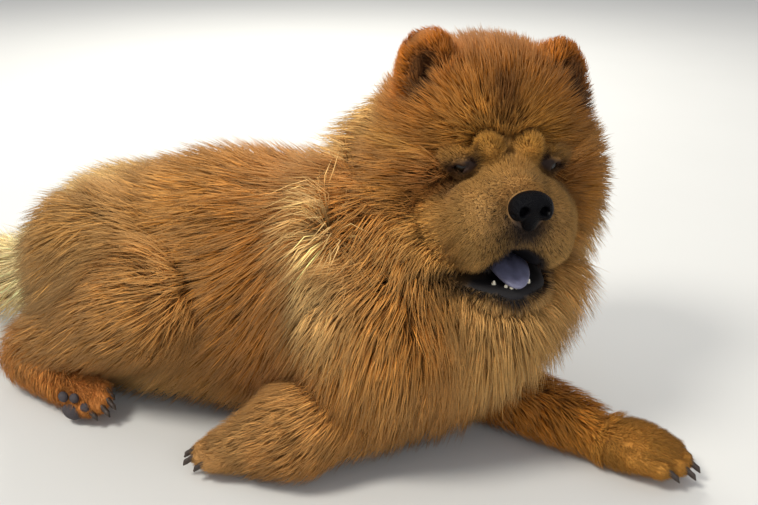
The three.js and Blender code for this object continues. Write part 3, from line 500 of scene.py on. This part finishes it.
# the unwrap of the skin: round the head as on a globe, round the body and legs as on a roller
spend = np.cumsum(np.where(kind, 4, 10)); used = spend <= BUDGET
is_head = np.array([f[2] == "H" and f[0] != "mane" for f in ALL])
hw = (W * is_head).sum(1)
names = [f[0] for f in ALL]; top = W.argmax(1)
def group(n):
    if n.split("_")[0] in ("mane", "ruff", "collar"): return "mane"
    if n.startswith(("forearm", "forepaw")): return "forelegs"
    if n.startswith(("thigh", "shank", "hindfoot", "rump")): return "hindquarters"
    if n.startswith("tail"): return "tail"
    if n in ("chest", "barrel") or n.startswith("shoulder"): return "trunk"
    return "head"
groups = np.array([group(n) for n in names])[top]
for gname in ("head", "mane", "trunk", "forelegs", "hindquarters", "tail"):
    sel = np.nonzero((groups == gname) & used)[0]
    if not len(sel): continue
    if gname in ("head", "mane"):
        q = H[sel] - (-20, 0, -30); q = q / np.linalg.norm(q, axis=1)[:, None]
        U = np.arctan2(q[:, 1], q[:, 0]) / (2 * math.pi) + 0.5; Vv = np.arccos(np.clip(q[:, 2], -1, 1)) / math.pi
    else:
        q = R[sel] - (0, 0, 100)
        U = np.arctan2(q[:, 1], q[:, 2]) / (2 * math.pi) + 0.5; Vv = (q[:, 0] + 640) / 1120
    for straight in (False, True):
        pool = np.nonzero(kind[sel] == straight)[0]
        if not len(pool): continue
        keep = [0, 1, 2, 6] if straight else list(range(7)); nv = len(keep)
        form = np.array([[0, 2, 1], [0, 1, 3], [1, 2, 3], [2, 0, 3]]) if straight else FACE
        order = pool[np.argsort(U[pool])]
        for pi, part in enumerate(np.array_split(order, int(np.ceil(len(order) * len(form) / 195000)))):
            s = sel[part]; n = len(s)
            o = mesh_of(f"coat_{gname}_{'under' if straight else 'over'}_{pi + 1}", V[s][:, keep].reshape(-1, 3), (form[None] + (np.arange(n) * nv)[:, None, None]).reshape(-1, 3))
            paint(o, VC[s][:, keep].reshape(-1, 3)); paint(o, STRAND[s][:, keep].reshape(-1, 3), "strand")
            uv = o.data.uv_layers.new(name="OFBake")
            base = np.stack([U[part], Vv[part]], 1) * 0.99 + 0.003
            pat = np.array([[0, 0], [1, 0], [0.5, 0.35], [0.1, 0.55], [0.9, 0.55], [0.5, 0.75], [0.5, 1]])[keep] * 0.003
            pv = (base[:, None] + pat[None]).reshape(-1, 2)
            li = np.empty(len(o.data.loops), np.int32); o.data.loops.foreach_get("vertex_index", li)
            uv.data.foreach_set("uv", pv[li].astype(np.float32).ravel())
            o.data.materials.append(M_COAT)
            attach(o, "root")

# ---- nose, tongue, eyes, teeth, claws, pads --------------------------------------------------------
def head_piece(name, f, lo, hi, h, mat):
    P, Q = nets(f, lo, hi, h)
    o = mesh_of(name, from_head(P), Q); o.data.materials.append(mat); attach(o, "root")
    return o
def nose_field(h):
    d = ell(h, [150, 0, -18, 13.5, 20.5, 13.5, 0, 0])
    for s in (1, -1):
        d = smin(d, ell(h, [150, s * 13, -23, 14.5, 8.5, 10.5, 0, 0]), 4)
    d = smin(d, ell(h, [146, 0, -33, 14, 8.5, 13, 0, 0]), 6)
    for s in (1, -1):
        d = smax(d, -ell(h, [166, s * 10, -21, 13, 5.2, 5.0, 0, 0]), 2)
        d = smax(d, 2.1 - lines(h, [(163, s * 10, -22), (158, s * 17, -25), (152, s * 22, -27)]), 2)
    return smax(d, 1.2 - lines(h, [(167, 0, -22), (163, 0, -36), (156, 0, -48)]), 1.6)
nose = head_piece("nose_leather", nose_field, (128, -28, -52), (172, 28, 2), 1.0, M_NOSE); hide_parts("nose")
def tongue_field(h):
    q = h.copy(); q[:, 2] += 0.0035 * np.maximum(h[:, 0] - 92, 0) ** 2 * 1.4
    d = ell(q, [88, 2, -104, 46, 21, 7.5, 0, 0])
    return smax(d, 1.4 - lines(q, [(60, 2, -96), (124, 2, -98.5)]), 5)
tongue = head_piece("tongue_blue", tongue_field, (36, -32, -120), (142, 28, -84), 1.4, M_TONGUE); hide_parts("tongue")
for side, s in (("left", 1), ("right", -1)):
    def eye_field(h, s=s):
        return smin(ell(h, [EYE["x"], s * EYE["y"], EYE["z"], 11.5, 11.5, 11.5, 0, 0]), ell(h, [EYE["x"] + 5, s * EYE["y"], EYE["z"], 7.5, 6.5, 6.5, 0, 0]), 2)
    o = head_piece(f"eyeball_{side}", eye_field, (48, s * 44 - 14, -18), (80, s * 44 + 14, 10), 1.0, M_EYE)
    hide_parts(f"eye_{side}")
def teeth_field(h):
    d = np.full(len(h), 99.0)
    for y in (-7.5, -2.5, 2.5, 7.5):
        d = np.minimum(d, ell(h, [126 - abs(y) * 0.5, y, -116, 1.9, 2.1, 3.2, 0, 0]))
    for s in (1, -1): d = np.minimum(d, cone(h, [114, s * 18, -117, 2.8, 116, s * 18.5, -112, 1.0]))
    return d
teeth = head_piece("lower_teeth", teeth_field, (108, -26, -122), (134, 26, -98), 0.7, M_TOOTH)
for w in PAWS:
    where, sd = w["name"].split("_"); sd = {"l": "left", "r": "right"}[sd]; where = where.replace("paw", "").replace("foot", "")
    direc = np.array([w["along"][0], w["along"][1], -0.25]); direc /= np.linalg.norm(direc)
    def claws(P, w=w, direc=direc):
        d = np.full(len(P), 99.0)
        for b in w["tips"]:
            c = np.array(b) + direc * w["r"] * 0.55; e = np.array(b) + direc * (w["r"] + 2.5); t = np.array(b) + direc * (w["r"] + 6)
            c[2] += 3; e[2] = max(e[2], 5.5); t[2] = max(t[2] - 3.5, 2.2)
            d = np.minimum(d, smin(cone(P, [*c, 3.6, *e, 2.6]), cone(P, [*e, 2.5, *t, 0.9]), 2))
        return d
    tips = np.array(w["tips"])
    Pc, Qc = nets(claws, tips.min(0) - 32, tips.max(0) + 32, 1.3)
    o = mesh_of(f"claws_{where}_{sd}", Pc, Qc); o.data.materials.append(M_CLAW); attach(o, "root")
    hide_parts(*[f"claw_{where}_{sd}_{i}" for i in (1, 2, 3, 4)])

def pads_field(P):
    d = np.full(len(P), 99.0)
    for c in ([-207, -170, 17, 14, 7, 10], [-216, -172, 35, 6.5, 5, 6.5], [-201, -170, 36, 6, 5, 6], [-188, -168, 26, 6, 5, 6]):
        d = smin(d, ell(P, [*c, 0, 0]), 3)
    return d
Pp, Qp = nets(pads_field, (-232, -185, 2), (-176, -156, 48), 1.4)
pads = mesh_of("pads_hind_right", Pp, Qp); pads.data.materials.append(M_PAD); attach(pads, "root")

# ---- floor, light, camera ---------------------------------------------------------------------------
fm = material("studio_floor", 0.9, colour=(0.62, 0.62, 0.60), noise=0.01, noise_scale=3)
bpy.ops.mesh.primitive_plane_add(size=14, location=(0, 0, 0)); floor = bpy.context.object; floor.name = "studio_floor"
floor.data.materials.append(fm)
world = bpy.data.worlds.new("studio"); bpy.context.scene.world = world; world.use_nodes = True
world.node_tree.nodes["Background"].inputs[0].default_value = (0.95, 0.96, 1.0, 1); world.node_tree.nodes["Background"].inputs[1].default_value = 0.55
def lamp(name, at, aim, size, power, colour=(1, 1, 1)):
    l = bpy.data.lights.new(name, "AREA"); l.shape = "DISK"; l.size = size; l.energy = power; l.color = colour
    o = bpy.data.objects.new(name, l); o.location = at; o.rotation_euler = (Vector(aim) - Vector(at)).to_track_quat("-Z", "Y").to_euler()
    bpy.context.scene.collection.objects.link(o)
lamp("key", (-0.6, -1.6, 2.4), (0.1, 0, 0.2), 0.9, 66, (1.0, 0.96, 0.88))
lamp("fill", (2.4, -1.6, 1.3), (0.1, 0, 0.2), 1.8, 16, (0.95, 0.97, 1.0))
lamp("rim", (-1.2, 2.0, 1.9), (0, 0, 0.2), 1.2, 66, (1.0, 0.97, 0.9))
cd = bpy.data.cameras.new("camera"); cam = bpy.data.objects.new("camera", cd); bpy.context.scene.collection.objects.link(cam)
cd.sensor_width = 36; cd.sensor_fit = "HORIZONTAL"; cd.lens = 1041 * 36 / 758; cd.clip_start = 0.05
cam.location = (np.array([600, -930, 640]) + SHIFT) / 1000; cam.rotation_euler = (68 * rad, 0, 28 * rad)
bpy.context.scene.camera = cam
bpy.context.scene.view_settings.view_transform = "Standard"

tally = {o.name: len(o.data.polygons) * (2 if o.name == "skin" else 1) for o in bpy.data.objects if o.type == "MESH" and not o.hide_render}
print("TRIANGLES", sum(tally.values()), max((v, k) for k, v in tally.items() if k.startswith("coat")))
